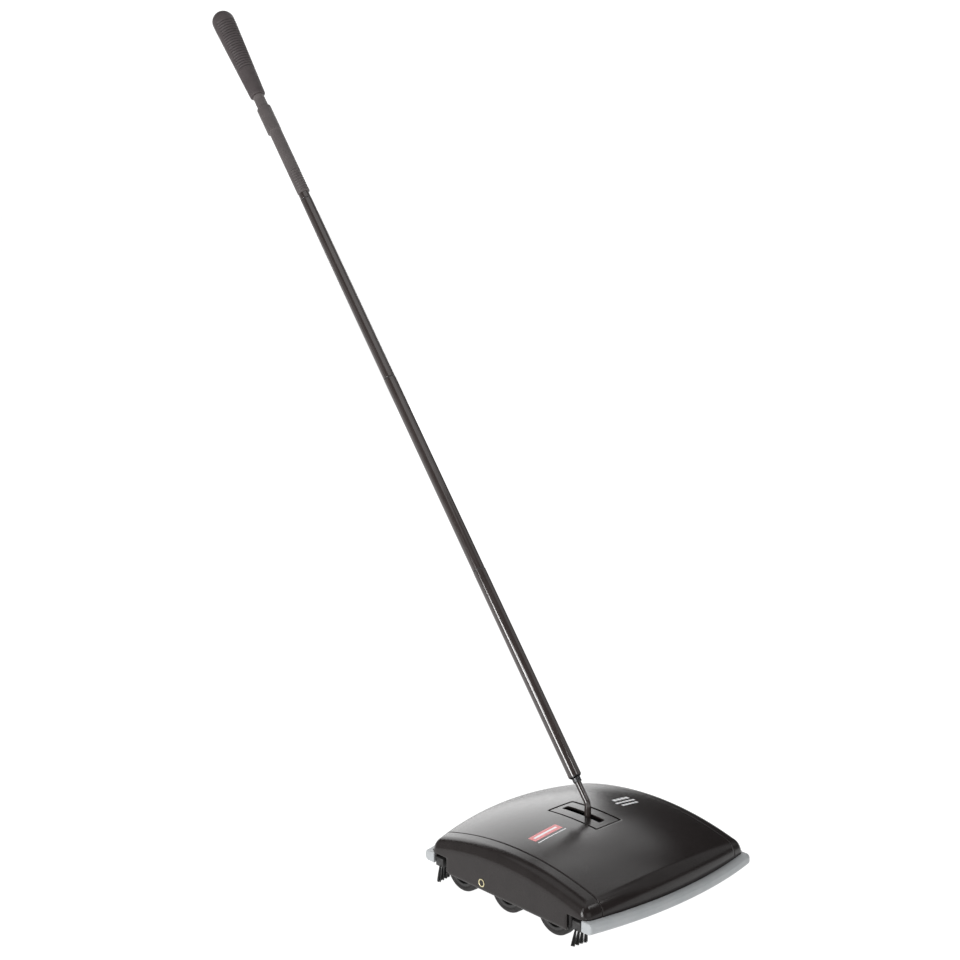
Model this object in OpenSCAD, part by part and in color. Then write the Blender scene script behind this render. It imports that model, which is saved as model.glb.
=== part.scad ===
// Manual carpet sweeper: a low wheeled head with two brush rolls, two drop-down dust pans and a
// leaning tube handle. Millimetres. X runs along the axles, -Y is the front bumper, +Y is the side
// that the handle leans to, Z is up. The origin is on the floor under the middle of the head.

/* [Head] */
// Width of the head across the end caps
head_w = 241; // [239:0.5:243]
// Height of the crown above the floor
crown_z = 72; // [71:0.5:74]
// Radius of the crown from front to rear
crown_r = 400; // [390:5:410]
// Radius of the crown from side to side
cross_r = 555; // [540:5:600]
// Front skirt's distance from the middle of the head, at its furthest
skirt_y = 126.5; // [126:0.5:128]
// Plan radius of the bowed front and rear skirts
bow_r = 530; // [520:5:540]
// Wall thickness of the moulded covers
wall = 2.2; // [2:0.1:2.4]
// Distance of the seams between cover and end caps from the middle
seam_x = 100.3; // [99.5:0.1:100.5]
// Height of the bottom edge of the end caps
cap_z = 13.7; // [12:0.1:15]

/* [Bumper] */
// Lowest height of the bumpers
bumper_z = 18.8; // [18:0.1:19.5]
// Height of a bumper strip
bumper_h = 11.6; // [11:0.1:11.8]
// How far the bumper stands out from the skirt
bumper_out = 8; // [6:0.5:10]

/* [Running gear] */
// Wheel radius over the tyre
wheel_r = 24; // [23.8:0.1:24.2]
// Distance between neighbouring wheels
wheel_pitch = 67; // [66.5:0.1:67.5]
// Outer face of the tyres, from the middle
wheel_x = 117.4; // [117:0.1:117.5]
// Width of a tyre
wheel_w = 10; // [9:0.5:10]
// Height of the brush axis
brush_z = 21.5; // [21.3:0.1:22]
// Radius over the bristles
bristle_r = 20.8; // [20:0.1:20.9]

/* [Dust pans] */
// Sheet thickness of the pans
pan_t = 0.8; // [0.7:0.1:1]
// Distance of the pan hinge from the middle of the head
pan_hinge_y = 99; // [98.5:0.5:99.5]
// Height of the pan hinge
pan_hinge_z = 16; // [15.5:0.5:17]

/* [Handle] */
// Lean of the handle from upright, as stored
handle_tilt = 37.4; // [36:0.1:39]
// Height of the handle pivot
pivot_z = 48; // [47:0.5:49]
// Outside diameter of the uppermost handle tube
tube_d = 13.2; // [13:0.1:13.4]
// How much thicker each handle tube is than the one above it
tube_step = 0.4; // [0:0.1:0.6]
// Wall of the handle tubes
tube_wall = 0.6; // [0.5:0.1:0.8]
// Length of one handle section
section_l = 245.6; // [240:0.2:250]
// Length from the foot of the lowest tube to the top of the grip
handle_l = 1012; // [1005:1:1020]

/* [Hidden] */
$fn = 64;
e = 0.01;
half_w = head_w / 2;
crown_axis_z = crown_z - crown_r;
bow_y = bow_r - skirt_y;
corner_r = 8;
shoulder_r = 12;
end_r = 12;
skirt_top = 43.2;
shoulder_slope = 17.5;
skirt_bottom = bumper_z + bumper_h + 0.2;
cover_x = seam_x - 0.2;
cap_x = seam_x + 0.2;
flange_r = bow_r - 5;
notch_y = 88;
deck_r = crown_r - 12.2;
deck_t = 1.2;
deck_y = 106;
plate_x = 104;
plate_t = 1.5;
side_z = 11;
side_y = 105;
axle_r = 2.5;
run = 0.05;
gap = 0.3;
rim_r = 18;
hub_x = 107.2;
brush_y = wheel_pitch / 2;
drum_r = sqrt(pow(brush_y, 2) + pow(wheel_r - brush_z, 2)) - wheel_r - gap;
core_r = 8;
core_x = 101.5;
journal_r = 3;
bush_flange_r = 4.4;
bush_depth = 2.9;
pan_x = 102.4;
pan_mouth_z = 6;
pan_lip_r = 22.9;
pan_rod_r = 1.5;
spring_x = 40;
spring_wire = 1;
spring_coil_r = 2.4;
spring_turns = 5;
spring_leg = 9;
spring_room = spring_coil_r + spring_wire / 2 + 0.2;
barrel_r = 2.5;
slot_y0 = -21;
slot_y1 = 33;
slot_w = 8.6;
insert_y = 4.8;
insert_w = 37.8;
insert_l = 72;
insert_drop = 0.3;
insert_gap = 1.5;
rod_r = 3.5;
bend_r = 12;
bend_lap = 1.4;
foot_y = 19;
foot_z = 109;
bend_z = foot_z - foot_y / tan(handle_tilt);
barrel_w = 16;
pin_r = 3;
tube_r = tube_d / 2;
tube_count = 4;
sleeve_s0 = 745;
sleeve_s1 = 834;
sleeve_s2 = 876;
sleeve_r = 8.65;
grip_s0 = 887;
holder_y0 = 94.5;
holder_y1 = 105.5;
holder_z0 = 17;
holder_z1 = 26.5;
tuft_r = 1.8;
cap_screws_yz = [[-97, 37], [0, 53.5], [97, 37]];
cover_screws_xy = [for (x = [-60, 60], y = [-72, 72]) [x, y]];
rivets_xy = [for (x = [-16, 16], y = [-20, 28]) [x, y]];

// ---- helpers ----

// Round bar along X from x0 to x1 through y, z
module bar_x(r, x0, x1, y = 0, z = 0) {
  translate([min(x0, x1), y, z]) rotate([0, 90, 0]) cylinder(r = r, h = abs(x1 - x0));
}

// Ring along X with a round bore
module ring_x(r, bore, x0, x1, y = 0, z = 0) {
  difference() {
    bar_x(r, x0, x1, y, z);
    bar_x(bore, min(x0, x1) - 1, max(x0, x1) + 1, y, z);
  }
}

// Box between two corners
module span(a, b) {
  translate(a) cube(b - a);
}

// Points of an arc
function arc(c, r, a0, a1, n) = [for (i = [0 : n])
  c + r * [cos(a0 + (a1 - a0) * i / n), sin(a0 + (a1 - a0) * i / n)]];

// Draws its children at distance s up the handle from the foot of the lowest tube
module along_handle(s = 0) {
  translate([0, foot_y, foot_z]) rotate([-handle_tilt, 0, 0]) translate([0, 0, s]) children();
}

// Outer radius and bore of handle tube k, counted from the lowest
function section_r(k) = tube_r + tube_step / 2 * (tube_count - 1 - k);
function section_bore(k) = section_r(k) - tube_wall;

// ---- outer form of the head, inset by o ----

module plan(o) {
  hw = half_w - o;
  br = bow_r - o;
  cr = corner_r - o;
  cx = hw - cr;
  cy = sqrt(pow(br - cr, 2) - pow(cx, 2)) - bow_y;
  corner = arc([cx, cy], cr, 0, 70, 5);
  last = corner[5];
  quarter = concat(corner, [[0, last[1] + last[0] * tan(20)]]);
  intersection() {
    translate([0, bow_y]) circle(r = br, $fn = 200);
    translate([0, -bow_y]) circle(r = br, $fn = 200);
    polygon(concat(quarter, [for (i = [5 : -1 : 0]) [-quarter[i][0], quarter[i][1]]],
      [for (p = quarter) [-p[0], -p[1]]], [for (i = [5 : -1 : 0]) [quarter[i][0], -quarter[i][1]]]));
  }
}

// Everything under the crown, which is curved both ways, with its ends rolled over
module under_crown(o) {
  r = end_r - o;
  cx = half_w - end_r;
  lean = atan(cx / cross_r) * 1.02;
  x_t = cx + r * sin(lean);
  r_t = crown_r - o - pow(x_t, 2) / (2 * cross_r);
  roll = arc([cx, r_t - r * cos(lean)], r, 90 - lean, 8, 5);
  top = [for (i = [0 : 6]) let (x = x_t * i / 6) [x, crown_r - o - pow(x, 2) / (2 * cross_r)]];
  half = concat(top, [for (i = [1 : 5]) roll[i]], [roll[5] + 40 * [sin(8), -cos(8)]]);
  n = len(half) - 1;
  translate([0, 0, crown_axis_z]) rotate([0, 90, 0]) rotate_extrude($fn = 200)
    polygon(concat([[0, -half[n][0]]], [for (i = [n : -1 : 1]) [half[i][1], -half[i][0]]],
      [for (p = half) [p[1], p[0]]], [[0, half[n][0]]]));
}

// Everything behind one bowed skirt and its rounded shoulder
module behind_skirt(o, side) {
  r = shoulder_r - o;
  edge = arc([bow_r - shoulder_r, skirt_top], r, 10, 90 - shoulder_slope, 5);
  last = edge[5];
  mirror([0, side > 0 ? 1 : 0, 0]) translate([0, bow_y, 0]) rotate_extrude($fn = 200)
    polygon(concat([[0, -5], [bow_r + 9, -5], edge[0] + 50 * [sin(10), -cos(10)]], edge,
      [[last[0] - 40 / tan(shoulder_slope), last[1] + 40], [0, last[1] + 40]]));
}

module head_form(o) {
  intersection() {
    translate([0, 0, cap_z - (o > 0 ? 5 : 0)]) linear_extrude(80) plan(o);
    under_crown(o);
    behind_skirt(o, -1);
    behind_skirt(o, 1);
  }
}

// Ring segment that follows one bowed skirt between two radii and two heights
module bow_strip(r0, r1, z0, z1, x0, x1, side) {
  intersection() {
    translate([0, -side * bow_y, z0]) difference() {
      cylinder(r = r1, h = z1 - z0, $fn = 200);
      translate([0, 0, -1]) cylinder(r = r0, h = z1 - z0 + 2, $fn = 200);
    }
    span([x0, side > 0 ? 90 : -140, z0 - 1], [x1, side > 0 ? 140 : -90, z1 + 1]);
  }
}

// ---- covers and bumpers ----

module top_cover() {
  color([0.10, 0.10, 0.11]) difference() {
    union() {
      difference() {
        intersection() {
          head_form(0);
          span([-cover_x, -140, skirt_bottom], [cover_x, 140, 90]);
        }
        head_form(wall);
      }
      for (side = [-1, 1]) {
        bow_strip(flange_r - wall, flange_r, bumper_z + 1, skirt_bottom + wall, -cover_x, cover_x, side);
        bow_strip(flange_r - e, bow_r - 1, skirt_bottom, skirt_bottom + wall, -cover_x, cover_x, side);
      }
      intersection() {
        for (p = cover_screws_xy) translate([p[0], p[1], 54]) cylinder(r = 3.5, h = 12);
        under_crown(1);
      }
    }
    translate([0, insert_y, 50]) linear_extrude(40) square([insert_w, insert_l], center = true);
    for (p = cover_screws_xy) translate([p[0], p[1], 50]) cylinder(r = 1.5, h = 8.5);
  }
}

module end_cap(side) {
  color([0.10, 0.10, 0.11]) difference() {
    union() {
      difference() {
        intersection() {
          head_form(0);
          span([side > 0 ? cap_x : -130, -140, 0], [side > 0 ? 130 : -cap_x, 140, 90]);
        }
        head_form(wall - 0.2);
        for (y = [-1, 1])
          span([-130, y > 0 ? notch_y : -140, 0], [130, y > 0 ? 140 : -notch_y, skirt_bottom]);
      }
      for (y = [-1, 1]) {
        bow_strip(flange_r - wall, flange_r, bumper_z + 2, skirt_bottom + wall,
          side > 0 ? cap_x : -half_w + 3, side > 0 ? half_w - 3 : -cap_x, y);
        bow_strip(flange_r - e, bow_r - 1, skirt_bottom, skirt_bottom + wall,
          side > 0 ? cap_x : -half_w + 1, side > 0 ? half_w - 1 : -cap_x, y);
      }
      for (p = cap_screws_yz) bar_x(3.5, side * (plate_x + plate_t), side * (half_w - 1.5), p[0], p[1]);
      bar_x(6, side * (half_w - bush_depth), side * (half_w - 1), -side * brush_y, brush_z);
    }
    for (p = cap_screws_yz) bar_x(1.5, side * (plate_x - 1), side * (plate_x + 9), p[0], p[1]);
    bar_x(journal_r + 1, side * (half_w - 5), side * (half_w + 5), -side * brush_y, brush_z);
  }
}

// Vinyl strip with a flat back and a rounded face
module bumper(side) {
  r = 4;
  r1 = bow_r + bumper_out;
  z1 = bumper_z + bumper_h;
  outline = concat([[flange_r + e, bumper_z]],
    arc([r1 - r, bumper_z + r], r, -90, 0, 6), arc([r1 - r, z1 - r], r, 0, 90, 6), [[flange_r + e, z1]]);
  color([0.66, 0.68, 0.70]) intersection() {
    translate([0, -side * bow_y, 0]) rotate_extrude($fn = 200) polygon(outline);
    span([-half_w - 0.7, side > 0 ? 90 : -140, 0], [half_w + 0.7, side > 0 ? 140 : -90, 60]);
  }
}

module insert_outline(grow) {
  square([insert_w + 2 * grow, insert_l + 2 * grow], center = true);
}

module handle_insert() {
  color([0.13, 0.13, 0.14]) difference() {
    union() {
      intersection() {
        translate([0, insert_y, 50]) linear_extrude(40) insert_outline(-insert_gap);
        under_crown(insert_drop);
      }
      intersection() {
        translate([0, insert_y, 50]) linear_extrude(40) insert_outline(2.7);
        under_crown(wall + 0.05);
      }
    }
    under_crown(3.6);
    for (y = [slot_y0 + slot_w / 2, slot_y1 - slot_w / 2])
      translate([0, y, 50]) cylinder(r = slot_w / 2, h = 40);
    span([-slot_w / 2, slot_y0 + slot_w / 2, 50], [slot_w / 2, slot_y1 - slot_w / 2, 90]);
  }
}

// ---- steel chassis ----

module deck_shell(r, t, x, y) {
  intersection() {
    translate([0, 0, crown_axis_z]) ring_x(r, r - t, -x, x, $fn = 200);
    span([-x - 1, -y, 30], [x + 1, y, 90]);
  }
}

module rod_window() {
  span([-5.5, -15, 40], [5.5, 23, 90]);
}

module chassis_deck() {
  color([0.62, 0.64, 0.66]) difference() {
    deck_shell(deck_r, deck_t, plate_x + plate_t, deck_y);
    rod_window();
    for (p = rivets_xy) translate([p[0], p[1], 40]) cylinder(r = 2, h = 40);
    for (p = cover_screws_xy) translate([p[0], p[1], 40]) cylinder(r = 1.5, h = 40);
  }
}

module side_plate(side) {
  x0 = side * plate_x;
  x1 = side * (plate_x + plate_t);
  color([0.30, 0.31, 0.32]) difference() {
    intersection() {
      span([min(x0, x1), -side_y, side_z], [max(x0, x1), side_y, 90]);
      translate([0, 0, crown_axis_z]) bar_x(deck_r - deck_t - e, -130, 130, $fn = 200);
    }
    for (i = [-1 : 1]) bar_x(axle_r, -130, 130, i * wheel_pitch, wheel_r);
    for (i = [-1, 1]) {
      bar_x(5, -130, 130, i * brush_y, brush_z);
      bar_x(pan_rod_r, -130, 130, i * pan_hinge_y, pan_hinge_z);
    }
    for (p = cap_screws_yz) bar_x(1.5, -130, 130, p[0], p[1]);
  }
}

// Angle strip that ties the side plates together at the front or rear
module cross_rail(side) {
  x = plate_x - e;
  color([0.62, 0.64, 0.66]) mirror([0, side < 0 ? 1 : 0, 0]) {
    span([-x, side_y - 2, 22], [x, side_y - 0.8, 42]);
    span([-x, side_y - 10, 42 - e], [x, side_y - 0.8, 43.2]);
  }
}

module pivot_bracket() {
  color([0.62, 0.64, 0.66]) difference() {
    union() {
      difference() {
        deck_shell(deck_r - deck_t - e, 1.5, 22, 36);
        span([-30, -40, 30], [30, -28, 90]);
      }
      for (side = [-1, 1]) intersection() {
        translate([0, 0, 58]) bar_x(19, side * 9, side * 11);
        span([-12, -9, pivot_z - 8], [12, 9, 58]);
      }
    }
    bar_x(pin_r, -20, 20, 0, pivot_z);
    rod_window();
    for (p = rivets_xy) translate([p[0], p[1], 40]) cylinder(r = 2, h = 40);
  }
}

module bracket_rivets() {
  color([0.75, 0.76, 0.78]) for (p = rivets_xy) translate([p[0], p[1], 0]) {
    z = crown_axis_z + sqrt(pow(deck_r, 2) - pow(p[1], 2));
    translate([0, 0, z - 3.5]) cylinder(r = 2, h = 4);
    translate([0, 0, z + 0.3]) cylinder(r = 3.5, h = 1.2);
    translate([0, 0, z - 4.4]) cylinder(r = 3.5, h = 1.2);
  }
}

module pivot_pin() {
  color([0.75, 0.76, 0.78]) {
    bar_x(pin_r, -13.5, 11 + e, 0, pivot_z);
    bar_x(5, 11, 13, 0, pivot_z);
  }
}

module pivot_clip() {
  color([0.4, 0.41, 0.42]) ring_x(5, pin_r, -12.1, -11.1, 0, pivot_z);
}

module friction_washers() {
  color([0.75, 0.76, 0.78]) for (side = [-1, 1])
    ring_x(6, pin_r + 0.02, side * (barrel_w / 2 + 0.06), side * 8.98, 0, pivot_z);
}

// ---- wheels and brushes ----

// One flanged stub axle per wheel, riveted through the side plate
module axle_studs() {
  color([0.75, 0.76, 0.78]) for (side = [-1, 1], i = [-1 : 1]) {
    bar_x(axle_r, side * (plate_x - e), side * (wheel_x + 0.2), i * wheel_pitch, wheel_r);
    bar_x(4, side * (plate_x + plate_t), side * (hub_x - 0.2), i * wheel_pitch, wheel_r);
    bar_x(4, side * (plate_x - 1.2), side * plate_x, i * wheel_pitch, wheel_r);
  }
}

module axle_clips() {
  color([0.4, 0.41, 0.42]) for (side = [-1, 1], i = [-1 : 1])
    ring_x(4.5, axle_r, side * (wheel_x - 1.2), side * (wheel_x - 0.4), i * wheel_pitch, wheel_r);
}

module at_wheel(side, i) {
  translate([side * wheel_x, i * wheel_pitch, wheel_r]) rotate([0, -side * 90, 0]) children();
}

module tyre(side, i) {
  r = 3;
  outline = concat([[rim_r, 0.6]], arc([wheel_r - r, r], r, -90, 0, 5),
    arc([wheel_r - 1.5, wheel_w - 1.5], 1.5, 0, 90, 4), [[rim_r, wheel_w]]);
  color([0.07, 0.07, 0.075]) at_wheel(side, i) rotate_extrude($fn = 96) polygon(outline);
}

// Hub with a dished outer face
module hub(side, i) {
  back = wheel_x - hub_x;
  color([0.12, 0.12, 0.13]) at_wheel(side, i) rotate_extrude($fn = 96) polygon([
    [axle_r + run, 1.6], [6.5, 1.6], [7, 5], [15.2, 5], [16, 0.6], [rim_r, 0.6],
    [rim_r, wheel_w - 0.4], [14, wheel_w - 0.4], [13, 7.5], [8, 7.5], [7, back], [axle_r + run, back]]);
}

// Nylon bearings for the brush shafts, pressed into the side plate
module brush_bearings() {
  color([0.85, 0.85, 0.82]) for (side = [-1, 1], i = [-1, 1]) {
    ring_x(5, axle_r + run, side * (plate_x - e), side * (plate_x + plate_t + 0.8), i * brush_y, brush_z);
    ring_x(6.5, axle_r + run, side * (plate_x - 1), side * plate_x, i * brush_y, brush_z);
  }
}

// Hollow brass bush that carries the outer journal of one brush shaft
module brass_bush(side) {
  y = -side * brush_y;
  color([0.80, 0.66, 0.32]) {
    ring_x(journal_r + 1, journal_r + run, side * (half_w - bush_depth), side * (half_w + e), y, brush_z);
    ring_x(bush_flange_r, journal_r + run, side * half_w, side * (half_w + 0.8), y, brush_z);
  }
}

// Core, shaft and the two drums that the tyres drive, for the brush on the front (-1) or rear (1)
module brush_core(i) {
  color([0.45, 0.33, 0.22]) translate([0, i * brush_y, brush_z]) {
    bar_x(core_r, -core_x, core_x);
    bar_x(axle_r, -wheel_x, wheel_x);
    for (side = [-1, 1]) bar_x(drum_r, side * (wheel_x - wheel_w + 0.2), side * (wheel_x - 0.2));
    bar_x(journal_r, -i * (wheel_x - 0.5), -i * (half_w - 1.2));
  }
}

module brush_bristles(i) {
  rows = 6;
  color([0.12, 0.12, 0.12]) translate([-core_x + 1.5, i * brush_y, brush_z]) rotate([0, 90, 0])
    linear_extrude(2 * core_x - 3) difference() {
      intersection() {
        circle(r = bristle_r);
        union() {
          circle(r = core_r + 0.8);
          for (k = [0 : rows - 1]) rotate(k * 360 / rows + 30) translate([0, -2.5]) square([30, 5]);
        }
      }
      circle(r = core_r);
    }
}

// ---- corner brushes ----

module brush_holder(side, front) {
  x = plate_x + plate_t + gap;
  color([0.06, 0.06, 0.065]) mirror([side < 0 ? 1 : 0, 0, 0]) mirror([0, front < 0 ? 1 : 0, 0]) {
    span([x, holder_y0, holder_z0], [half_w - 1, holder_y1, holder_z1]);
    span([x, holder_y0, holder_z1 - e], [x + 6, holder_y1, skirt_bottom + 2]);
  }
}

// Four bundles in a row along X that fan out towards the floor
module tufts(side, front) {
  color([0.05, 0.05, 0.05]) for (k = [-1.5 : 1.5]) {
    tip = [side * (114.4 + 4.8 * k), front * 98, 0.8];
    top = [side * (113 + 3.1 * k), front * 99.5, holder_z0 + 2];
    d = tip - top;
    translate(top) rotate([0, acos(d[2] / norm(d)), atan2(d[1], d[0])])
      cylinder(r = tuft_r, h = norm(d) - 0.6);
  }
}

// ---- dust pans ----

module pan_rod(front) {
  x = plate_x + plate_t + 0.2;
  color([0.75, 0.76, 0.78]) bar_x(pan_rod_r, -x, x, front * pan_hinge_y, pan_hinge_z);
}

// Section of a pan, drawn for +Y and set in by o: a lip that follows the brush, a floor and a wall
function pan_line(o) = concat(
  arc([brush_y, brush_z], pan_lip_r + o, 0, -asin((brush_z - pan_mouth_z - o) / (pan_lip_r + o)), 6),
  [[82, pan_mouth_z] + o * [-0.2, 1], [pan_hinge_y - 1.5, pan_hinge_z - 3.2] + o * [-0.6, 0.85],
  [pan_hinge_y + 1, pan_hinge_z] + o * [-1, 0.25], [pan_hinge_y + 1 - o, 27]]);

module dust_pan(front) {
  outer = pan_line(0);
  inner = pan_line(pan_t);
  back = [for (i = [len(inner) - 1 : -1 : 0]) inner[i]];
  color([0.62, 0.64, 0.66]) mirror([0, front < 0 ? 1 : 0, 0]) difference() {
    union() {
      translate([-pan_x, 0, 0]) rotate([90, 0, 90]) linear_extrude(2 * pan_x) polygon(concat(outer, back));
      for (side = [-1, 1]) translate([side > 0 ? pan_x - pan_t : -pan_x, 0, 0]) rotate([90, 0, 90])
        linear_extrude(pan_t) polygon(outer);
      for (x = [-92, -10, 72]) bar_x(barrel_r, x, x + 20, pan_hinge_y, pan_hinge_z);
    }
    bar_x(pan_rod_r + 0.08, -120, 120, pan_hinge_y, pan_hinge_z);
    translate([spring_x - 1, pan_hinge_y - 3, pan_hinge_z - spring_room])
      cube([spring_turns * spring_wire + 1, 9, 2 * spring_room]);
  }
}

// Torsion spring coiled round the hinge rod in a window of the pan, with one leg against the pan's wall
module pan_spring(front) {
  lean = asin((spring_coil_r + 1 - pan_t - spring_wire / 2 - 0.02) / spring_leg);
  color([0.4, 0.41, 0.42]) mirror([0, front < 0 ? 1 : 0, 0]) translate([spring_x, pan_hinge_y, pan_hinge_z]) {
    rotate([0, 90, 0]) for (k = [0 : spring_turns - 1]) translate([0, 0, k * spring_wire])
      rotate_extrude() translate([spring_coil_r, 0]) circle(r = spring_wire / 2 + 0.02, $fn = 24);
    translate([(spring_turns - 1) * spring_wire, -spring_coil_r, 0]) rotate([-lean, 0, 0])
      cylinder(r = spring_wire / 2, h = spring_leg);
  }
}

// ---- fasteners of the head ----

module cap_screws() {
  color([0.75, 0.76, 0.78]) for (side = [-1, 1], p = cap_screws_yz) {
    bar_x(1.5, side * (plate_x - e), side * (plate_x + 8), p[0], p[1]);
    bar_x(2.8, side * (plate_x - 1.6), side * plate_x, p[0], p[1]);
  }
}

module cover_screws() {
  color([0.75, 0.76, 0.78]) for (p = cover_screws_xy) {
    z = crown_axis_z + sqrt(pow(deck_r - deck_t, 2) - pow(abs(p[1]) + 2.8, 2));
    translate([p[0], p[1], z - e]) cylinder(r = 1.5, h = 6);
    translate([p[0], p[1], z - 1.6]) cylinder(r = 2.8, h = 1.6);
  }
}

// ---- handle ----

// Bent steel rod with a cross barrel on the pivot pin
module pivot_rod() {
  straight = bend_r * tan(handle_tilt / 2);
  color([0.09, 0.09, 0.10]) difference() {
    union() {
      bar_x(6.5, -barrel_w / 2, barrel_w / 2, 0, pivot_z);
      translate([0, 0, pivot_z]) cylinder(r = rod_r, h = bend_z - straight - pivot_z);
      translate([0, bend_r, bend_z - straight]) rotate([90, 0, -90]) rotate(-bend_lap)
        rotate_extrude(angle = handle_tilt + 2 * bend_lap) translate([bend_r, 0]) circle(r = rod_r - 0.02);
      translate([0, 0, bend_z]) rotate([-handle_tilt, 0, 0]) translate([0, 0, straight])
        cylinder(r = rod_r, h = foot_y / sin(handle_tilt) - straight + 25);
    }
    bar_x(pin_r + run, -20, 20, 0, pivot_z);
  }
}

// Bush that grips the rod in the foot of the lowest tube
module rod_collar() {
  color([0.16, 0.16, 0.17]) along_handle() difference() {
    union() {
      translate([0, 0, -7]) cylinder(r = 4.6, h = 7 + e);
      cylinder(r = section_bore(0), h = 25);
    }
    translate([0, 0, -10]) cylinder(r = rod_r, h = 40);
  }
}

// Four steel tubes, each a little thicker than the one above it, with a hair gap at each joint
module handle_tubes() {
  color([0.09, 0.09, 0.10]) for (k = [0 : tube_count - 1]) {
    s0 = k * section_l + (k > 0 ? 0.5 : 0);
    s1 = k < tube_count - 1 ? (k + 1) * section_l - 0.5 : handle_l - 9;
    along_handle(s0) difference() {
      cylinder(r = section_r(k), h = s1 - s0);
      translate([0, 0, -1]) cylinder(r = section_bore(k), h = s1 - s0 + 2);
    }
  }
}

// Hollow ferrules, each stepped to fit the tube below it and the tube above it
module tube_joiners() {
  color([0.14, 0.14, 0.15]) for (k = [1 : tube_count - 1]) along_handle(k * section_l) difference() {
    union() {
      translate([0, 0, -20]) cylinder(r = section_bore(k - 1), h = 20);
      translate([0, 0, -e]) cylinder(r = section_bore(k), h = 20);
      translate([0, 0, -0.5]) cylinder(r = section_r(k) - 0.2, h = 1);
    }
    translate([0, 0, -21]) cylinder(r = section_bore(k) - 0.9, h = 42);
  }
}

// Collar and front tongue with a ribbed thumb pad
module handle_sleeve() {
  shift = sleeve_r - (tube_r + sleeve_r) / 2;
  color([0.13, 0.13, 0.13]) along_handle() difference() {
    union() {
      translate([0, 0, sleeve_s1]) cylinder(r = sleeve_r, h = sleeve_s2 - sleeve_s1);
      translate([0, -shift, sleeve_s0]) difference() {
        cylinder(r = sleeve_r - shift, h = sleeve_s1 - sleeve_s0 + e);
        span([-20, shift + 3, -1], [20, 20, sleeve_s1 - sleeve_s0 + e]);
      }
    }
    translate([0, 0, sleeve_s0 - 1]) cylinder(r = tube_r, h = 200);
  }
}

// Tapered grip with a domed end
module handle_grip() {
  r0 = 9.4;
  r1 = 13.8;
  dome = 14;
  s1 = handle_l - dome;
  outline = concat([[tube_r, grip_s0], [r0 - 1, grip_s0], [r0, grip_s0 + 1.5], [r1 - 0.2, s1 - 8]],
    arc([0, s1], r1, 0, 90, 10), [[0, handle_l - 9], [tube_r, handle_l - 9]]);
  color([0.14, 0.14, 0.14]) along_handle() rotate_extrude() polygon(outline);
}

top_cover();
end_cap(-1);  // left_end_cap
end_cap(1);  // right_end_cap
bumper(-1);  // front_bumper
bumper(1);  // rear_bumper
handle_insert();
chassis_deck();
side_plate(-1);  // left_side_plate
side_plate(1);  // right_side_plate
cross_rail(-1);  // front_cross_rail
cross_rail(1);  // rear_cross_rail
pivot_bracket();
bracket_rivets();
pivot_pin();
pivot_clip();
friction_washers();
axle_studs();
axle_clips();
brush_bearings();
brass_bush(-1);  // left_brass_bush
brass_bush(1);  // right_brass_bush
brush_holder(-1, -1);  // front_left_brush_holder
brush_holder(1, -1);  // front_right_brush_holder
brush_holder(-1, 1);  // rear_left_brush_holder
brush_holder(1, 1);  // rear_right_brush_holder
tufts(-1, -1);  // front_left_tufts
tufts(1, -1);  // front_right_tufts
tufts(-1, 1);  // rear_left_tufts
tufts(1, 1);  // rear_right_tufts
pan_rod(-1);  // front_pan_rod
pan_rod(1);  // rear_pan_rod
cap_screws();
cover_screws();
tyre(-1, -1);  // front_left_tyre
hub(-1, -1);  // front_left_hub
tyre(-1, 0);  // middle_left_tyre
hub(-1, 0);  // middle_left_hub
tyre(-1, 1);  // rear_left_tyre
hub(-1, 1);  // rear_left_hub
tyre(1, -1);  // front_right_tyre
hub(1, -1);  // front_right_hub
tyre(1, 0);  // middle_right_tyre
hub(1, 0);  // middle_right_hub
tyre(1, 1);  // rear_right_tyre
hub(1, 1);  // rear_right_hub
brush_core(-1);  // front_brush_core
brush_bristles(-1);  // front_brush_bristles
brush_core(1);  // rear_brush_core
brush_bristles(1);  // rear_brush_bristles
dust_pan(-1);  // front_dust_pan
dust_pan(1);  // rear_dust_pan
pan_spring(-1);  // front_pan_spring
pan_spring(1);  // rear_pan_spring
pivot_rod();
rod_collar();
handle_tubes();
tube_joiners();
handle_sleeve();
handle_grip();
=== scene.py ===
"""Looks of the carpet sweeper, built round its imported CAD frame.

Lengths are in millimetres until make() writes a mesh, which is in metres. X runs along the axles,
the handle leans to +Y, and the floor is at z = 0.
"""
import math
import random

import bmesh
import bpy
import numpy as np
from mathutils import Matrix, Vector


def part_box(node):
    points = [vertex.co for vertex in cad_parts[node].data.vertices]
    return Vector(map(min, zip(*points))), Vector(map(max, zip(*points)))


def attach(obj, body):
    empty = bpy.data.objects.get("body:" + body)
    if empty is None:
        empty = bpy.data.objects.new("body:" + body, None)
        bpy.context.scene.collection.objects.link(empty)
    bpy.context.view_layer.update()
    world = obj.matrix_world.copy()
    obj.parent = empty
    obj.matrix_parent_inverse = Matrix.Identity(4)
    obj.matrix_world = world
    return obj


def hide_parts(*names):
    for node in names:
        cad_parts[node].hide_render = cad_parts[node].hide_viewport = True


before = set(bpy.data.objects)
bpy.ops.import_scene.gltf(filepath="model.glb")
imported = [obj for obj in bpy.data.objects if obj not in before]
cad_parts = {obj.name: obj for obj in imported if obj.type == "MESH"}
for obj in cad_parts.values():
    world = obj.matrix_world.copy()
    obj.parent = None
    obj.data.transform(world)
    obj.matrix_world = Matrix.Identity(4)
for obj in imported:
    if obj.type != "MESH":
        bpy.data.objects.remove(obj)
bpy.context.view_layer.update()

MM = 0.001
SIDES = (("left", -1), ("right", 1))
ENDS = (("front", -1), ("rear", 1))


# ---- dimensions ----

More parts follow.
